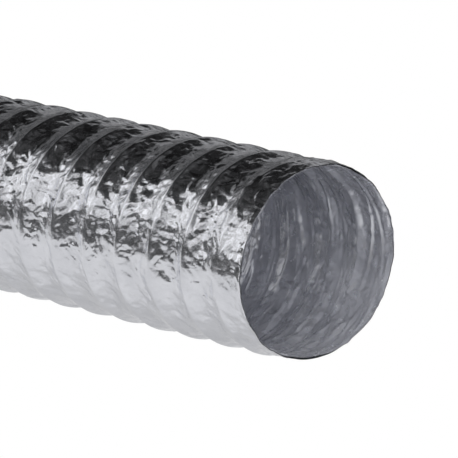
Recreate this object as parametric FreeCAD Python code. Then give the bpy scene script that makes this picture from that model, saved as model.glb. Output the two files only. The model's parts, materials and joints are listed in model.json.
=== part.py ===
import FreeCAD, Part
import math
import os

# Flexible air duct, 152 mm bore: two foil plies with a spring-steel wire helix between them.
#
# The duct lies along the X axis. The origin is the centre of the front opening, +X points out of that
# opening, and the duct runs away from it towards -X. Lengths are in millimetres, angles in degrees, and
# an angle around the duct is counted from +Y towards +Z.
#
# Each real ply, and the real wire, is one long strip. They are divided here so that the duct can move:
# - A plain round cuff at each end fits over a spigot.
# - A fold band is where the duct closes up along its axis.
# - A flex band lies around each bending axis, and is where the duct bends.
# - Each wire turn runs from one bending axis to the next.

# Driving dimensions
BORE_RADIUS = 76.0
WIRE_PITCH = 38.0
WIRE_DIAMETER = 1.2
PLY_THICKNESS = 0.3
WIRE_CLEARANCE = 0.15
CUFF_LENGTH = 19.0
FOLD_LENGTH = 22.0
JOINT_SETS = 10

# How far the inner ply sags between two wires. The outer ply sags further, so that the two nearly meet.
INNER_SAG = 2.6
PLY_GAP_AT_SAG = 0.25

# The wire helix is left-handed. Carried on to the plane of the front opening, it would pass this angle.
WIRE_EXIT_ANGLE = -95.0
WIRE_END_SETBACK = 1.5
WIRE_CUT_ANGLE = 1.0

# Worked-out dimensions
FLEX_LENGTH = WIRE_PITCH - FOLD_LENGTH
DUCT_LENGTH = 2.0 * CUFF_LENGTH + JOINT_SETS * WIRE_PITCH
WIRE_HELIX_RADIUS = BORE_RADIUS + PLY_THICKNESS + WIRE_CLEARANCE + WIRE_DIAMETER / 2.0
OUTER_PLY_RADIUS = WIRE_HELIX_RADIUS + WIRE_DIAMETER / 2.0 + WIRE_CLEARANCE
OUTER_SAG = INNER_SAG + OUTER_PLY_RADIUS - BORE_RADIUS - PLY_THICKNESS - PLY_GAP_AT_SAG

# Between the cuffs and the full sag, and between two bands
SAG_RAMP = 14.0
BAND_GAP = 0.2

# How finely the cubic spline surfaces are drawn
DEGREE = 3
PLY_SPANS = 6
PLY_POLES_AROUND = 36
WIRE_SPAN_ANGLE = 3.0
WIRE_POLES_AROUND = 8

# The inside radius of each ply on the wire, and its sag
PLIES = {
    "inner": (BORE_RADIUS, INNER_SAG),
    "outer": (OUTER_PLY_RADIUS, OUTER_SAG),
}


def sag_share(x, angle):
    """How much of its full sag a ply has: 0 on the wire and in the cuffs, 1 midway between two wires."""
    wire_x = -WIRE_PITCH * (angle - WIRE_EXIT_ANGLE) / 360.0
    between_wires = (1.0 - math.cos(2.0 * math.pi * (x - wire_x) / WIRE_PITCH)) / 2.0
    past_cuff = min(-x, x + DUCT_LENGTH) - CUFF_LENGTH
    ramp = min(max(past_cuff / SAG_RAMP, 0.0), 1.0)
    return between_wires * ramp * ramp * (3.0 - 2.0 * ramp)


def even_stations(spans):
    """Where the rows of poles go along a surface, from 0 to 1, so that it runs evenly from end to end."""
    knots = [0] * DEGREE + list(range(spans + 1)) + [spans] * DEGREE
    return [sum(knots[row + 1:row + 1 + DEGREE]) / (DEGREE * spans) for row in range(spans + DEGREE)]


def circle_factor(poles):
    """How much larger than its circle a ring of this many poles has to be."""
    return 3.0 / (2.0 + math.cos(2.0 * math.pi / poles))


def spline_solid(rows):
    """The solid inside a spline surface. Each row is a ring of poles, and the two end rings are flat."""
    spans = len(rows) - DEGREE
    around = len(rows[0])
    end_counts = [DEGREE + 1]
    along_counts = end_counts + [1] * (spans - 1) + end_counts
    surface = Part.BSplineSurface()
    surface.buildFromPolesMultsKnots(
        rows, along_counts, [1] * (around + 1), list(range(spans + 1)), list(range(around + 1)),
        False, True, DEGREE, DEGREE
    )
    face = surface.toShape()
    caps = [Part.Face(Part.Wire([edge])) for edge in face.Edges if edge.isClosed()]
    shell = Part.makeShell([face] + caps)
    shell.sewShape()
    solid = Part.makeSolid(shell)
    if solid.Volume < 0:
        solid.reverse()
    return solid


def filled_ply(x_low, x_high, crest_radius, sag):
    """Everything inside one side of a ply, between two planes."""
    rows = []
    for station in even_stations(PLY_SPANS):
        x = x_low + (x_high - x_low) * station
        row = []
        for column in range(PLY_POLES_AROUND):
            angle = 360.0 * column / PLY_POLES_AROUND
            radius = circle_factor(PLY_POLES_AROUND) * (crest_radius - sag * sag_share(x, angle))
            turn = math.radians(angle)
            row.append(FreeCAD.Vector(x, radius * math.cos(turn), radius * math.sin(turn)))
        rows.append(row)
    return spline_solid(rows)


def sagging_band(x_low, x_high, inside_radius, sag):
    """A band of one ply, with the sag between its wires, a little short of its neighbours."""
    x_low += BAND_GAP / 2.0
    x_high -= BAND_GAP / 2.0
    outside = filled_ply(x_low, x_high, inside_radius + PLY_THICKNESS, sag)
    return outside.cut(filled_ply(x_low, x_high, inside_radius, sag))


def cuff_band(x_low, x_high, inside_radius):
    """A plain round band of one ply at an end of the duct."""
    base = FreeCAD.Vector(x_low, 0, 0)
    direction = FreeCAD.Vector(1, 0, 0)
    length = x_high - x_low
    outside = Part.makeCylinder(inside_radius + PLY_THICKNESS, length, base, direction)
    return outside.cut(Part.makeCylinder(inside_radius, length, base, direction))


def wire_turn(x_low, x_high):
    """The wire between two planes: a round section carried along the left-handed helix."""
    spans = math.ceil(360.0 * (x_high - x_low) / WIRE_PITCH / WIRE_SPAN_ANGLE)
    section_radius = circle_factor(WIRE_POLES_AROUND) * WIRE_DIAMETER / 2.0
    rows = []
    for station in even_stations(spans):
        x = x_low + (x_high - x_low) * station
        turn = math.radians(WIRE_EXIT_ANGLE - 360.0 * x / WIRE_PITCH)
        outward = FreeCAD.Vector(0, math.cos(turn), math.sin(turn))
        round_duct = FreeCAD.Vector(0, -math.sin(turn), math.cos(turn))
        heading = FreeCAD.Vector(-WIRE_PITCH / (2.0 * math.pi * WIRE_HELIX_RADIUS), 0, 0) + round_duct
        sideways = heading.cross(outward).normalize()
        centre = FreeCAD.Vector(x, 0, 0) + outward * WIRE_HELIX_RADIUS
        row = []
        for column in range(WIRE_POLES_AROUND):
            around = 2.0 * math.pi * column / WIRE_POLES_AROUND
            offset = outward * math.cos(around) + sideways * math.sin(around)
            row.append(centre + offset * section_radius)
        rows.append(row)
    return spline_solid(rows)


def set_start(number):
    """Where joint set number 1, 2, ... starts. Its fold band comes first, then its flex band."""
    return -CUFF_LENGTH - (number - 1) * WIRE_PITCH


def bending_plane(number):
    """Where the bending axis of joint set number 1, 2, ... crosses the duct."""
    return set_start(number) - FOLD_LENGTH - FLEX_LENGTH / 2.0


def moved_back(shape, sets):
    """A copy of a shape, this many joint sets further from the front opening."""
    return shape.translated(FreeCAD.Vector(-sets * WIRE_PITCH, 0, 0))


def ply_bands(inside_radius, sag):
    """The fold bands and the flex bands of one ply. Away from the cuffs, each repeats at the wire pitch."""
    folds = []
    flexes = []
    for number in (1, 2, JOINT_SETS):
        start = set_start(number)
        middle = start - FOLD_LENGTH
        folds.append(sagging_band(middle, start, inside_radius, sag))
        flexes.append(sagging_band(middle - FLEX_LENGTH, middle, inside_radius, sag))
    repeats = range(JOINT_SETS - 2)
    return [
        [first] + [moved_back(second, repeat) for repeat in repeats] + [last]
        for first, second, last in (folds, flexes)
    ]


def make_plies():
    """Both plies: a cuff, then a fold band and a flex band for each joint set, then a cuff."""
    shapes = {}
    for ply, (inside_radius, sag) in PLIES.items():
        folds, flexes = ply_bands(inside_radius, sag)
        shapes["%s_foil_front_cuff" % ply] = cuff_band(-CUFF_LENGTH, 0.0, inside_radius)
        for index, (fold, flex) in enumerate(zip(folds, flexes)):
            shapes["%s_foil_fold_%02d" % (ply, index + 1)] = fold
            shapes["%s_foil_flex_%02d" % (ply, index + 1)] = flex
        shapes["%s_foil_rear_cuff" % ply] = cuff_band(-DUCT_LENGTH, CUFF_LENGTH - DUCT_LENGTH, inside_radius)
    return shapes


def make_wire():
    """The wire, cut at each bending axis with a small gap, and set back from both openings."""
    half_cut = WIRE_PITCH * WIRE_CUT_ANGLE / 720.0
    first = wire_turn(bending_plane(1) + half_cut, -WIRE_END_SETBACK)
    second = wire_turn(bending_plane(2) + half_cut, bending_plane(1) - half_cut)
    last = wire_turn(WIRE_END_SETBACK - DUCT_LENGTH, bending_plane(JOINT_SETS) - half_cut)
    turns = [first] + [moved_back(second, repeat) for repeat in range(JOINT_SETS - 1)] + [last]
    return {"wire_turn_%02d" % (index + 1): turn for index, turn in enumerate(turns)}


def main():
    os.makedirs("parts", exist_ok=True)
    shapes = make_plies()
    shapes.update(make_wire())
    for name, shape in shapes.items():
        if not shape.isValid() or shape.Volume <= 0:
            raise ValueError("%s is not a valid solid" % name)
        shape.exportStep("parts/%s.step" % name)


main()
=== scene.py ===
"""The looks of a flexible foil air duct: crumpled foil plies and the wire helix between them, around its CAD frame.

The duct lies along X, with its front opening at x = 0 and the rest of it towards -X. Lengths in this script are
in millimetres until a mesh is made. An angle around the duct is counted from +Y towards +Z, in degrees.
"""

import json
import math

import bpy
import numpy as np
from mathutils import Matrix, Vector

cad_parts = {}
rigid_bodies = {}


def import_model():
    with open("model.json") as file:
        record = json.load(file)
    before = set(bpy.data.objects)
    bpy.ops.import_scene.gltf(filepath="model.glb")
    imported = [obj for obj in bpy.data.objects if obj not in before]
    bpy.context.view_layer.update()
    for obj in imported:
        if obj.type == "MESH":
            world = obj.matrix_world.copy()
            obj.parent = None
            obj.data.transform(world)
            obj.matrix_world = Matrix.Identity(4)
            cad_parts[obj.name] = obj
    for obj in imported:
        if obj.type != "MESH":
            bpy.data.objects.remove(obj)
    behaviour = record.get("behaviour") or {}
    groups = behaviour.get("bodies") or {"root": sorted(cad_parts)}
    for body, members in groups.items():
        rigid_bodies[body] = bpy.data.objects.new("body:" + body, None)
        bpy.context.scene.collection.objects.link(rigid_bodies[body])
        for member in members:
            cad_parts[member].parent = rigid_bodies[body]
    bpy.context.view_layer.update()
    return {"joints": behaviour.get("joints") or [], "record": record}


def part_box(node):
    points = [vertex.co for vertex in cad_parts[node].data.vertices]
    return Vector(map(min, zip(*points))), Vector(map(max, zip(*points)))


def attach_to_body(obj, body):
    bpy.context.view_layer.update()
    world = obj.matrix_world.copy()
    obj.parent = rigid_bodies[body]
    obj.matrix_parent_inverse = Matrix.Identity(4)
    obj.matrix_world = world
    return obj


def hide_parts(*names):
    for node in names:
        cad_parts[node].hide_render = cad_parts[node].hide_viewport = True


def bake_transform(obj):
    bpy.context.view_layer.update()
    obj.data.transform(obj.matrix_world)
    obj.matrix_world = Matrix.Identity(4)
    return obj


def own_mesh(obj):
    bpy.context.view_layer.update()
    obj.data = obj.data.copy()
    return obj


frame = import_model()

MM = 0.001


# ---------------------------------------------------------------- sizes from the frame


def node_x(node):
    """The rearmost and frontmost X of a CAD node."""
    low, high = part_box(node)
    return low[0] / MM, high[0] / MM


SLIDES = {joint["child"]: joint for joint in frame["joints"] if joint["type"] == "slide"}
HINGES = {joint["parent"]: joint for joint in frame["joints"] if joint["type"] == "hinge"}
JOINT_SETS = len(HINGES)
WIRE_TURNS = JOINT_SETS + 1

SLABS = ["front_cuff"]
for number in range(1, JOINT_SETS + 1):
    SLABS += ["fold_%02d" % number, "flex_%02d" % number]
SLABS += ["rear_cuff"]

SLAB_BOXES = [node_x("outer_foil_" + slab) for slab in SLABS]
SLAB_EDGES = [SLAB_BOXES[0][1]]
for slab_box, next_box in zip(SLAB_BOXES, SLAB_BOXES[1:]):
    SLAB_EDGES.append((slab_box[0] + next_box[1]) / 2)
SLAB_EDGES.append(SLAB_BOXES[-1][0])

FRONT_X = SLAB_EDGES[0]
REAR_X = SLAB_EDGES[-1]
CUFF_LENGTH = SLAB_EDGES[0] - SLAB_EDGES[1]
WIRE_PITCH = SLAB_EDGES[1] - SLAB_EDGES[3]
CREST_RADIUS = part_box("outer_foil_front_cuff")[1][2] / MM
BORE_RADIUS = frame["record"]["mounts"][0]["dims"]["r_mm"]

# ---------------------------------------------------------------- the shape of the foil

WIRE_EXIT_ANGLE = -95.0
WIRE_RADIUS = 0.6
WIRE_CENTRE_RADIUS = CREST_RADIUS - 1.05
FOIL_THICKNESS = 0.15
PLY_GAP = 0.05
WIRE_BULGE = 1.6
WIRE_BULGE_WIDTH = 1.8

SAG = 3.6
CREST_ROUNDING = 1.0
CUFF_SAG_SHARE = 0.28
EDGE_REACH = 5.0
RIM_REACH = 16.0
SAG_RAMP = 16.0

GRID_STEP = 1.0
GRID_AROUND = 408
# How far each way the slope of a ply is measured: crisp facets outside, rounded ones inside
OUTER_SLOPE_REACH = 0.2
INNER_SLOPE_REACH = 0.7

# Crumpled layers: facet length along the duct, facet width around it, height, seed
CRUMPLES = (
    (24.0, 19.0, 0.70, 11),
    (9.0, 8.0, 0.62, 23),
    (4.4, 4.2, 0.40, 37),
    (16.0, 4.6, 0.16, 41),
)
CREST_CRUMPLE = 0.10
CREST_CRUMPLE_REACH = 5.0

# The inner ply is also pleated round the duct, inwards only, with a few sharper creases on top
PLEAT_DEPTH = 0.75
PLEAT_SPACING = 4.0
PLEAT_LENGTH = 40.0
CREASE_DEPTH = 2.4
CREASE_START = 0.35
CREASE_SPACING = 3.4
CREASE_LENGTH = 26.0


def lattice(along, around, heights, flips):
    """Flat facets between random heights on a lattice that closes around the duct."""
    rows, columns = heights.shape
    row = np.floor(along).astype(int)
    column = np.floor(around).astype(int)
    part_row = along - row
    part_column = around - column
    row = np.clip(row, 0, rows - 2)
    left = column % columns
    right = (column + 1) % columns
    a = heights[row, left]
    b = heights[row, right]
    c = heights[row + 1, left]
    d = heights[row + 1, right]
    near_a = a + part_column * (b - a) + part_row * (c - a)
    near_d = d + (1 - part_column) * (c - d) + (1 - part_row) * (b - d)
    falling = np.where(part_row + part_column < 1, near_a, near_d)
    near_b = b + (1 - part_column) * (a - b) + part_row * (d - b)
    near_c = c + part_column * (d - c) + (1 - part_row) * (a - c)
    rising = np.where(part_row + 1 - part_column < 1, near_b, near_c)
    return np.where(flips[row, left], falling, rising)


def random_lattice(x, angle, length, width, rng):
    """Random facets of about this length and width, from -1 to 1."""
    columns = round(2 * math.pi * CREST_RADIUS / width)
    rows = math.ceil((FRONT_X - REAR_X) / length) + 4
    heights = rng.uniform(-1, 1, (rows, columns))
    flips = rng.random((rows, columns)) < 0.5
    return lattice((FRONT_X - x) / length + 1.5, angle / 360 * columns, heights, flips)


def facets(x, angle, length, width, seed):
    """Crumpled facets whose creases run every way, from -1 to 1."""
    rng = np.random.default_rng(seed)
    shift = 0.75
    x_shift = shift * length * random_lattice(x, angle, 1.9 * length, 1.9 * width, rng)
    angle_shift = shift * random_lattice(x, angle, 1.9 * length, 1.9 * width, rng)
    angle_shift = angle_shift * math.degrees(width / CREST_RADIUS)
    return random_lattice(x + x_shift, angle + angle_shift, length, width, rng)


def from_wire(x, angle):
    """How far along the duct the nearest wire is."""
    turns = (x + WIRE_PITCH * (angle - WIRE_EXIT_ANGLE) / 360) / WIRE_PITCH
    return np.abs(turns - np.round(turns)) * WIRE_PITCH


def crumple(x, angle, off_wire):
    """The height of the crumpled foil over its smooth shape. The wire holds it nearly still."""
    height = 0
    for length, width, size, seed in CRUMPLES:
        height = height + size * facets(x, angle, length, width, seed)
    free = np.clip(off_wire / CREST_CRUMPLE_REACH, 0, 1)
    return height * (CREST_CRUMPLE + (1 - CREST_CRUMPLE) * free * free * (3 - 2 * free))


def sag(x, angle, off_wire):
    """How far the foil hangs below its crest."""
    rounded = np.sqrt(off_wire ** 2 + CREST_ROUNDING ** 2) - CREST_ROUNDING
    past_cuff = np.minimum(FRONT_X - x, x - REAR_X) - CUFF_LENGTH
    ramp = np.clip(past_cuff / SAG_RAMP, 0, 1)
    depth = CUFF_SAG_SHARE + (1 - CUFF_SAG_SHARE) * ramp * ramp * (3 - 2 * ramp)
    uneven = 1 + 0.22 * facets(x, angle, 45.0, 60.0, 71)
    return SAG * depth * uneven * np.sin(math.pi * rounded / WIRE_PITCH)


def outer_radius(x, angle):
    """The outside of the outer ply."""
    off_wire = from_wire(x, angle)
    return CREST_RADIUS - sag(x, angle, off_wire) + crumple(x, angle, off_wire)


def inner_radius(x, angle):
    """The inside of the inner ply. It follows the outer ply, and parts from it to let the wire through."""
    off_wire = from_wire(x, angle)
    bulge = WIRE_BULGE * np.exp(-((off_wire / WIRE_BULGE_WIDTH) ** 2))
    free = np.clip(off_wire / CREST_CRUMPLE_REACH, 0, 1)
    pleats = PLEAT_DEPTH * (1 + facets(x, angle, PLEAT_SPACING, PLEAT_LENGTH, 83))
    creases = CREASE_DEPTH * np.clip(facets(x, angle, CREASE_SPACING, CREASE_LENGTH, 97) - CREASE_START, 0, None)
    return outer_radius(x, angle) - 2 * FOIL_THICKNESS - PLY_GAP - bulge - free * (pleats + creases)


def cut_edge(angle):
    """How far the cut edge of the foil stays back from the opening. The scissors left a step on one side."""
    slant = 0.6 - 1.6 * np.cos(np.radians(angle))
    wander = 0.3 * np.sin(np.radians(2 * angle + 40)) + 0.12 * np.sin(np.radians(7 * angle))
    step = 1.6 / (1 + np.exp(-(angle - 22) * 1.2)) / (1 + np.exp((angle - 120) / 12))
    return slant + wander + step


def out_of_round(turn):
    """How far the cut edge of the soft duct stands out from a circle. It has sunk a little under its own weight."""
    return 1.7 * np.cos(turn) + 0.5 * np.sin(turn) + 2.5 * np.cos(2 * turn) + 1.5 * np.sin(2 * turn) - 0.6


def rim_shape(x, angle):
    """How far the duct stands out from round. This fades out away from an opening."""
    turn = np.radians(angle)
    front = np.exp((x - FRONT_X) / RIM_REACH)
    rear = np.exp((REAR_X - x) / RIM_REACH)
    return out_of_round(turn) * front + out_of_round(-turn) * rear


def positions(x, angle, radius):
    """Points on the duct. Close to an opening they move with the cut edge."""
    turn = np.radians(angle)
    front = np.exp((x - FRONT_X) / EDGE_REACH)
    rear = np.exp((REAR_X - x) / EDGE_REACH)
    radius = radius + rim_shape(x, angle)
    x = x - cut_edge(angle) * front + cut_edge(-angle) * rear
    x = x + np.zeros_like(radius)
    return np.stack((x, radius * np.cos(turn), radius * np.sin(turn)), axis=-1)


def outward_normals(x, angle, surface, reach):
    """Unit normals of a surface of the duct, pointing away from its axis."""
    turn = math.degrees(reach / CREST_RADIUS)
    ahead, behind = x + reach, x - reach
    left, right = angle - turn, angle + turn
    along = positions(behind, angle, surface(behind, angle)) - positions(ahead, angle, surface(ahead, angle))
    around = positions(x, right, surface(x, right)) - positions(x, left, surface(x, left))
    normal = np.cross(along, around)
    return normal / np.linalg.norm(normal, axis=-1, keepdims=True)


# ---------------------------------------------------------------- meshes


def make_mesh(name, points, quads, normals=None):
    """A smooth mesh of quads, in metres, with its own normals if they are given."""
    mesh = bpy.data.meshes.new(name)
    mesh.vertices.add(len(points))
    mesh.vertices.foreach_set("co", (points * MM).astype(np.float32).ravel())
    mesh.loops.add(quads.size)
    mesh.loops.foreach_set("vertex_index", quads.astype(np.int32).ravel())
    mesh.polygons.add(len(quads))
    mesh.polygons.foreach_set("loop_start", np.arange(0, quads.size, 4, dtype=np.int32))
    mesh.polygons.foreach_set("use_smooth", np.ones(len(quads), dtype=bool))
    mesh.update(calc_edges=True)
    mesh.validate()
    if normals is not None:
        mesh.normals_split_custom_set_from_vertices(normals.tolist())
    piece = bpy.data.objects.new(name, mesh)
    bpy.context.scene.collection.objects.link(piece)
    return piece


def ring_quads(rows, columns, first=0):
    """Quads between rings of points. They face outwards when the rings run towards -X."""
    row, column = np.meshgrid(np.arange(rows - 1), np.arange(columns), indexing="ij")
    after = (column + 1) % columns
    corners = (row * columns + column, (row + 1) * columns + column, (row + 1) * columns + after, row * columns + after)
    return np.stack(corners, axis=-1).reshape(-1, 4) + first


def end_quads(outside, inside):
    """Quads that close the end of a thin shell, between its two rings. They face +X."""
    return np.stack((outside, np.roll(outside, -1), np.roll(inside, -1), inside), axis=-1)


def foil_shell(name, outside, inside, outward):
    """A thin closed band of foil, from grids of its outside points, its inside points and its outward normals."""
    rows, columns = outside.shape[:2]
    count = rows * columns
    ring = np.arange(columns)
    quads = (
        ring_quads(rows, columns),
        ring_quads(rows, columns, count)[:, ::-1],
        end_quads(ring, ring + count),
        end_quads(ring + count - columns, ring + 2 * count - columns)[:, ::-1],
    )
    points = np.concatenate((outside.reshape(-1, 3), inside.reshape(-1, 3)))
    normals = np.concatenate((outward.reshape(-1, 3), -outward.reshape(-1, 3)))
    return make_mesh(name, points, np.concatenate(quads), normals)


def slab_stations():
    """X of every ring of points, and where each slab's rings start and stop."""
    stations = []
    ranges = []
    for front, rear in zip(SLAB_EDGES, SLAB_EDGES[1:]):
        steps = round((front - rear) / GRID_STEP)
        first = max(len(stations) - 1, 0)
        inside = np.linspace(front, rear, steps + 1)
        stations += list(inside if not stations else inside[1:])
        ranges.append(slice(first, len(stations)))
    return np.array(stations)[:, None], ranges


def make_ply(ply, surface, slope_reach, thickness_inside, material):
    """One ply, as a shell for each slab. All are cut from one crumpled surface, so they meet."""
    x, ranges = slab_stations()
    angle = (np.arange(GRID_AROUND) * 360 / GRID_AROUND - 180)[None, :]
    radius = surface(x, angle)
    shown = positions(x, angle, radius)
    hidden = positions(x, angle, radius + (-FOIL_THICKNESS if thickness_inside else FOIL_THICKNESS))
    outside, inside = (shown, hidden) if thickness_inside else (hidden, shown)
    outward = outward_normals(x, angle, surface, slope_reach)
    shells = []
    for slab, rings in zip(SLABS, ranges):
        name = "%s_foil_%s_crumpled" % (ply, slab)
        shell = foil_shell(name, outside[rings], inside[rings], outward[rings])
        shell.data.materials.append(material)
        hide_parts("%s_foil_%s" % (ply, slab))
        shells.append(shell)
    return shells


WIRE_STEP_ANGLE = 3.0
WIRE_SIDES = 12
WIRE_SETBACK = 1.6


def make_wire_length(name, front, rear):
    """The wire between two planes, as a closed round bar along the helix."""
    steps = max(2, math.ceil(360 * (front - rear) / WIRE_PITCH / WIRE_STEP_ANGLE))
    x = np.linspace(front, rear, steps + 1)[:, None]
    angle = WIRE_EXIT_ANGLE - 360 * x / WIRE_PITCH
    turn = np.radians(angle)
    zero = np.zeros_like(turn)
    outward = np.concatenate((zero, np.cos(turn), np.sin(turn)), axis=1)
    heading = np.concatenate((zero, -np.sin(turn), np.cos(turn)), axis=1)
    heading[:, 0] = -WIRE_PITCH / (2 * math.pi * WIRE_CENTRE_RADIUS)
    sideways = np.cross(heading, outward)
    sideways /= np.linalg.norm(sideways, axis=1, keepdims=True)
    centre = outward * (WIRE_CENTRE_RADIUS + rim_shape(x, angle))
    centre[:, 0] += x[:, 0]
    around = np.arange(WIRE_SIDES) * 2 * math.pi / WIRE_SIDES
    rings = [centre + WIRE_RADIUS * (math.cos(a) * outward + math.sin(a) * sideways) for a in around]
    tips = np.stack((centre, centre), axis=0)[:, [0, -1]]
    points = np.concatenate((np.stack(rings, axis=1).reshape(-1, 3), tips[0]))
    sides = ring_quads(steps + 1, WIRE_SIDES)
    front_tip = len(points) - 2
    last = steps * WIRE_SIDES
    caps = []
    for side in range(0, WIRE_SIDES, 2):
        a, b, c = side, side + 1, (side + 2) % WIRE_SIDES
        caps.append((front_tip, a, b, c))
        caps.append((front_tip + 1, last + c, last + b, last + a))
    return make_mesh(name, points, np.concatenate((sides, np.array(caps))))


def make_wire(material):
    """The wire helix, one length for each slab, set back from both openings."""
    lengths = []
    for index, slab in enumerate(SLABS):
        front = SLAB_EDGES[index] - (WIRE_SETBACK if index == 0 else 0)
        rear = SLAB_EDGES[index + 1] + (WIRE_SETBACK if index == len(SLABS) - 1 else 0)
        length = make_wire_length("wire_in_" + slab, front, rear)
        length.data.materials.append(material)
        turn = math.ceil(index / 2) if index else 1
        turns = {min(max(turn, 1), WIRE_TURNS)}
        if slab.startswith("flex"):
            turns |= {min(turn + 1, WIRE_TURNS)}
        if index == len(SLABS) - 1:
            turns = {WIRE_TURNS}
        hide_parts(*["wire_turn_%02d" % t for t in turns])
        lengths.append(length)
    return lengths


# ---------------------------------------------------------------- materials


def node_material(name):
    """A new material, its nodes and links, and its Principled shader."""
    material = bpy.data.materials.new(name)
    material.use_nodes = True
    nodes = material.node_tree.nodes
    return material, nodes, material.node_tree.links, nodes["Principled BSDF"]


def noise(nodes, links, scale, detail, roughness=0.5):
    """Noise over the object's own coordinates, in features per metre."""
    place = nodes.new("ShaderNodeTexCoord")
    texture = nodes.new("ShaderNodeTexNoise")
    texture.inputs["Scale"].default_value = scale
    texture.inputs["Detail"].default_value = detail
    texture.inputs["Roughness"].default_value = roughness
    links.new(place.outputs["Object"], texture.inputs["Vector"])
    return texture.outputs["Fac"]


def ramp(nodes, links, value, stops):
    """A colour ramp through (position, grey or colour) stops."""
    node = nodes.new("ShaderNodeValToRGB")
    elements = node.color_ramp.elements
    while len(elements) < len(stops):
        elements.new(0.5)
    for element, (position, colour) in zip(elements, stops):
        element.position = position
        grey = (colour, colour, colour) if isinstance(colour, (int, float)) else colour
        element.color = (*grey, 1)
    links.new(value, node.inputs["Fac"])
    return node.outputs["Color"]


def foil_material(name, metal, dark, light, rough_low, rough_high, bump_strength):
    """Rolled foil: bright metal with faint rolling streaks, uneven gloss and fine wrinkles."""
    material, nodes, links, shader = node_material(name)
    shader.inputs["Metallic"].default_value = metal
    tone = noise(nodes, links, 60, 3)
    links.new(ramp(nodes, links, tone, ((0.35, dark), (0.65, light))), shader.inputs["Base Color"])
    gloss = noise(nodes, links, 140, 4, 0.6)
    links.new(ramp(nodes, links, gloss, ((0.3, rough_low), (0.7, rough_high))), shader.inputs["Roughness"])
    bump = nodes.new("ShaderNodeBump")
    bump.inputs["Strength"].default_value = bump_strength
    bump.inputs["Distance"].default_value = 0.25 * MM
    links.new(noise(nodes, links, 420, 5, 0.6), bump.inputs["Height"])
    links.new(bump.outputs["Normal"], shader.inputs["Normal"])
    return material


def wire_material():
    """Drawn spring steel."""
    material, nodes, links, shader = node_material("spring_steel")
    shader.inputs["Metallic"].default_value = 1
    tone = noise(nodes, links, 300, 4)
    dark = (0.25, 0.25, 0.26)
    light = (0.48, 0.48, 0.49)
    links.new(ramp(nodes, links, tone, ((0.3, dark), (0.7, light))), shader.inputs["Base Color"])
    shader.inputs["Roughness"].default_value = 0.38
    return material


# ---------------------------------------------------------------- how the pieces move


def attach(piece, index):
    """A cuff rides on its body, a fold band rides on the body its slide hangs from, with a mesh of its own, and a flex
    band has its place baked into its mesh.
    """
    slab = SLABS[index]
    band = "band_" + slab[-2:]
    if slab.endswith("cuff"):
        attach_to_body(piece, slab)
    elif slab.startswith("fold"):
        slide = SLIDES[band]
        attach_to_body(piece, slide["parent"])
        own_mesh(piece)
    else:
        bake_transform(piece)


# ---------------------------------------------------------------- studio

CAMERA_AZIMUTH = 47.4
CAMERA_ELEVATION = 11.7
CAMERA_DISTANCE = 3.43
CAMERA_LENS = 356.0
AIM_RIGHT = -0.0665
AIM_UP = 0.0254

STUDIO_STRENGTH = 1.15
# The lights are uneven, and this is how bright their darker and lighter patches are
STUDIO_PATCHES = ((0.40, 0.20), (0.52, 0.60), (0.62, 1.00))
# Height in the studio, as the sine of the elevation, and its brightness there
STUDIO = (
    (-1.00, 0.05),
    (-0.02, 0.08),
    (0.10, 0.10),
    (0.17, 1.00),
    (0.56, 1.00),
    (0.63, 0.06),
    (0.90, 0.06),
    (0.97, 0.16),
    (1.00, 0.16),
)
# Azimuth in the studio, from +X towards +Y, and its brightness there. It repeats on the opposite side
STUDIO_SIDES = (
    (0, 0.40),
    (6, 1.00),
    (72, 1.00),
    (92, 0.60),
    (110, 0.34),
    (150, 0.32),
    (160, 0.10),
    (172, 0.10),
    (180, 0.40),
)
AMBIENT = 2.3
BACKDROP_WHITE = 1.0

# The floor is low enough for the duct to bend down without touching it
FLOOR_Z = -0.2
# Distance from the duct's axis across the floor, in millimetres, and how brightly the floor glows there for all but
# camera rays: painted light, a pool of it around the duct, a little darker near its axis as painted shade
FLOOR_PAINTED_LIGHT = (
    (0, 0.50),
    (60, 0.52),
    (170, 0.68),
    (530, 0.66),
    (840, 0.14),
    (1360, 0.08),
)
FLOOR_LIGHT_REACH = 1360.0


def math_node(nodes, links, operation, first, second):
    """A math node on two inputs, each an output of another node or a number."""
    node = nodes.new("ShaderNodeMath")
    node.operation = operation
    for socket, value in zip(node.inputs, (first, second)):
        if isinstance(value, (int, float)):
            socket.default_value = value
        else:
            links.new(value, socket)
    return node.outputs["Value"]


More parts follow.
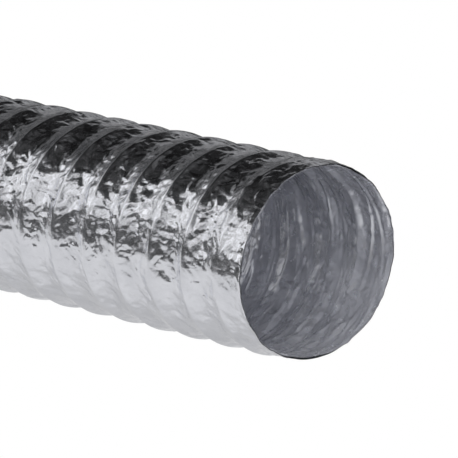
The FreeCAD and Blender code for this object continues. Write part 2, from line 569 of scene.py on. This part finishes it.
def make_world():
    """Two soft lights at a low height under a dark ceiling. The camera itself sees a white backdrop."""
    world = bpy.data.worlds.new("studio")
    bpy.context.scene.world = world
    world.use_nodes = True
    nodes, links = world.node_tree.nodes, world.node_tree.links
    place = nodes.new("ShaderNodeTexCoord")
    parts = nodes.new("ShaderNodeSeparateXYZ")
    links.new(place.outputs["Generated"], parts.inputs["Vector"])
    position = math_node(nodes, links, "MULTIPLY_ADD", parts.outputs["Z"], 0.5)
    position.node.inputs[2].default_value = 0.5
    stops = [((sine + 1) / 2, grey) for sine, grey in STUDIO]
    height = ramp(nodes, links, position, stops)
    azimuth = math_node(nodes, links, "ARCTAN2", parts.outputs["Y"], parts.outputs["X"])
    half_turns = math_node(nodes, links, "DIVIDE", azimuth, math.pi)
    side = ramp(nodes, links, math_node(nodes, links, "FRACT", math_node(nodes, links, "ADD", half_turns, 2), 0),
                [(degrees / 180, grey) for degrees, grey in STUDIO_SIDES])
    patches = nodes.new("ShaderNodeTexNoise")
    patches.inputs["Scale"].default_value = 5.0
    patches.inputs["Detail"].default_value = 3.0
    links.new(place.outputs["Generated"], patches.inputs["Vector"])
    uneven = ramp(nodes, links, patches.outputs["Fac"], STUDIO_PATCHES)
    strength = math_node(nodes, links, "MULTIPLY", math_node(nodes, links, "MULTIPLY", side, uneven), STUDIO_STRENGTH)
    light = nodes["Background"]
    links.new(height, light.inputs["Color"])
    links.new(strength, light.inputs["Strength"])
    backdrop = nodes.new("ShaderNodeBackground")
    backdrop.inputs["Color"].default_value = (1, 1, 1, 1)
    backdrop.inputs["Strength"].default_value = BACKDROP_WHITE
    ambient = nodes.new("ShaderNodeBackground")
    ambient.inputs["Strength"].default_value = AMBIENT
    lit = seen_by(nodes, links, "Is Diffuse Ray", light.outputs[0], ambient.outputs[0])
    links.new(seen_by(nodes, links, "Is Camera Ray", lit, backdrop.outputs[0]), nodes["World Output"].inputs["Surface"])


def seen_by(nodes, links, rays, otherwise, shader):
    """Mixes two shaders, so that only these rays see the second."""
    path = nodes.new("ShaderNodeLightPath")
    mix = nodes.new("ShaderNodeMixShader")
    links.new(path.outputs[rays], mix.inputs["Fac"])
    links.new(otherwise, mix.inputs[1])
    links.new(shader, mix.inputs[2])
    return mix.outputs[0]


def make_floor():
    """A floor under the duct, plain white to the camera. Other rays see it glow with painted light, a pool around the
    duct that is a little darker near its axis as painted shade.
    """
    half = 6.0
    mesh = bpy.data.meshes.new("floor")
    corners = [(-half, -half, FLOOR_Z), (half, -half, FLOOR_Z), (half, half, FLOOR_Z), (-half, half, FLOOR_Z)]
    mesh.from_pydata(corners, [], [(0, 1, 2, 3)])
    floor = bpy.data.objects.new("floor", mesh)
    bpy.context.scene.collection.objects.link(floor)
    material = bpy.data.materials.new("floor_with_painted_light")
    material.use_nodes = True
    nodes, links = material.node_tree.nodes, material.node_tree.links
    place = nodes.new("ShaderNodeTexCoord")
    parts = nodes.new("ShaderNodeSeparateXYZ")
    links.new(place.outputs["Object"], parts.inputs["Vector"])
    away = math_node(nodes, links, "DIVIDE", math_node(nodes, links, "ABSOLUTE", parts.outputs["Y"], 0), FLOOR_LIGHT_REACH * MM)
    # Painted light: the floor's own glow, seen in the foil's reflections, brightest in a pool around the duct, with
    # painted shade near its axis
    paint = nodes.new("ShaderNodeEmission")
    links.new(ramp(nodes, links, away, [(y / FLOOR_LIGHT_REACH, grey) for y, grey in FLOOR_PAINTED_LIGHT]), paint.inputs["Color"])
    white = nodes.new("ShaderNodeEmission")
    white.inputs["Strength"].default_value = BACKDROP_WHITE
    surface = seen_by(nodes, links, "Is Camera Ray", paint.outputs[0], white.outputs[0])
    links.new(surface, nodes["Material Output"].inputs["Surface"])
    mesh.materials.append(material)


def make_camera():
    """A long lens from the front and the side, a little above the duct."""
    azimuth, elevation = math.radians(CAMERA_AZIMUTH), math.radians(CAMERA_ELEVATION)
    level = math.cos(elevation)
    back = Vector((math.sin(azimuth) * level, -math.cos(azimuth) * level, math.sin(elevation)))
    right = Vector((math.cos(azimuth), math.sin(azimuth), 0))
    up = back.cross(right)
    camera = bpy.data.objects.new("camera", bpy.data.cameras.new("camera"))
    camera.data.lens = CAMERA_LENS
    camera.data.clip_end = 50
    camera.location = AIM_RIGHT * right + AIM_UP * up + CAMERA_DISTANCE * back
    camera.rotation_euler = (-back).to_track_quat("-Z", "Y").to_euler()
    bpy.context.scene.collection.objects.link(camera)
    bpy.context.scene.camera = camera


def make_duct():
    """Both plies and the wire: cuff and fold pieces move with their parts of the frame, and flex pieces stay baked in
    place.
    """
    bright = foil_material("outer_foil", 1.0, (0.83, 0.84, 0.89), (0.91, 0.92, 0.97), 0.14, 0.26, 0.50)
    # The inner ply is the same foil as the outer one; its darker base colour is painted shade for the inside of the
    # duct
    inner_foil_painted_shade = foil_material("inner_foil", 0.7, (0.60, 0.61, 0.66), (0.78, 0.79, 0.84), 0.18, 0.30, 0.35)
    outer = make_ply("outer", outer_radius, OUTER_SLOPE_REACH, True, bright)
    inner = make_ply("inner", inner_radius, INNER_SLOPE_REACH, False, inner_foil_painted_shade)
    wire = make_wire(wire_material())
    for pieces in (outer, inner, wire):
        for index, piece in enumerate(pieces):
            attach(piece, index)


make_duct()
make_world()
make_floor()
make_camera()
bpy.context.scene.view_settings.view_transform = "Standard"
